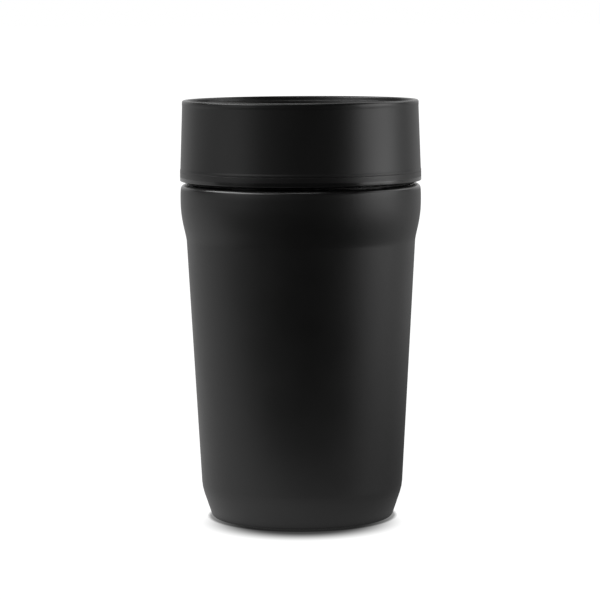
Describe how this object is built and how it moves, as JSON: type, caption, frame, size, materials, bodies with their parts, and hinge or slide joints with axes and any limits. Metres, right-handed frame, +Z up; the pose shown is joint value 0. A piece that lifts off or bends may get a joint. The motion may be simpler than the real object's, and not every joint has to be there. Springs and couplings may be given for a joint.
{
  "type": "insulated travel mug",
  "caption": "Vacuum-insulated travel mug: black double-wall steel cup with a screw lid, dished top and a push-to-open valve that pours all round the rim.",
  "frame": {"origin": "centre of the foot pad's underside, on the surface the mug stands on", "axes": "+Z up, along the mug's axis of symmetry, from the foot to the drinking rim"},
  "size_m": [0.088, 0.088, 0.153],
  "materials": {
    "powder_coat": "matte black powder coat with a fine texture",
    "lid_plastic": "fine-spark satin black polypropylene",
    "inner_plastic": "matte dark grey polypropylene",
    "liner_steel": "turned and electropolished stainless steel",
    "spring_steel": "bright drawn stainless steel",
    "black_silicone": "matte black silicone",
    "clear_silicone": "milky translucent silicone",
    "acetal": "waxy white acetal",
    "copper_foil": "bright copper foil",
    "solder": "dull solder grey"
  },
  "bodies": {
    "cup": {"outer_shell": "powder_coat", "inner_liner": "liner_steel", "base_cap": "liner_steel", "vacuum_port_plug": "solder", "foot_pad": "black_silicone", "getter_pellet": "solder", "getter_clip": "spring_steel", "foil_wrap": "copper_foil"},
    "gasket": {"neck_gasket": "black_silicone"},
    "lid": {"drinking_collar": "lid_plastic", "threaded_base": "lid_plastic", "valve_cage": "inner_plastic", "latch_housing": "inner_plastic", "collar_seal": "black_silicone", "stem_seal": "clear_silicone", "cam_sleeve": "acetal", "return_spring": "spring_steel"},
    "plunger": {"push_plate": "lid_plastic", "thumb_pad": "black_silicone", "plate_screw": "spring_steel", "valve_stem": "acetal", "valve_disc": "inner_plastic", "valve_seal": "clear_silicone", "disc_washer": "spring_steel", "disc_screw": "spring_steel", "spring_washer": "spring_steel"},
    "rotor": {"latch_rotor": "inner_plastic"}
  },
  "joints": [
    {"name": "lid_rise", "type": "slide", "parent": "cup", "child": "gasket", "axis": [0, 0, 1], "range_m": [0, 0.0271]},
    {"name": "lid_turn", "type": "hinge", "parent": "gasket", "child": "lid", "pos_m": [0, 0, 0.1226], "axis": [0, 0, 1], "range_deg": [0, 540]},
    {"name": "button_press", "type": "slide", "parent": "lid", "child": "plunger", "axis": [0, 0, -1], "range_m": [0, 0.0046], "stiffness_N_per_m": 500, "springref_m": -0.006, "deforming": ["return_spring"]},
    {"name": "rotor_turn", "type": "hinge", "parent": "plunger", "child": "rotor", "pos_m": [0, 0, 0.1315], "axis": [0, 0, 1], "range_deg": [0, 45.1]}
  ],
  "couplings": [
    {"joint": "lid_rise", "follows": "lid_turn", "m_per_rad": 0.0028648},
    {"joint": "rotor_turn", "follows": "button_press", "rad_per_m": 170.74}
  ]
}
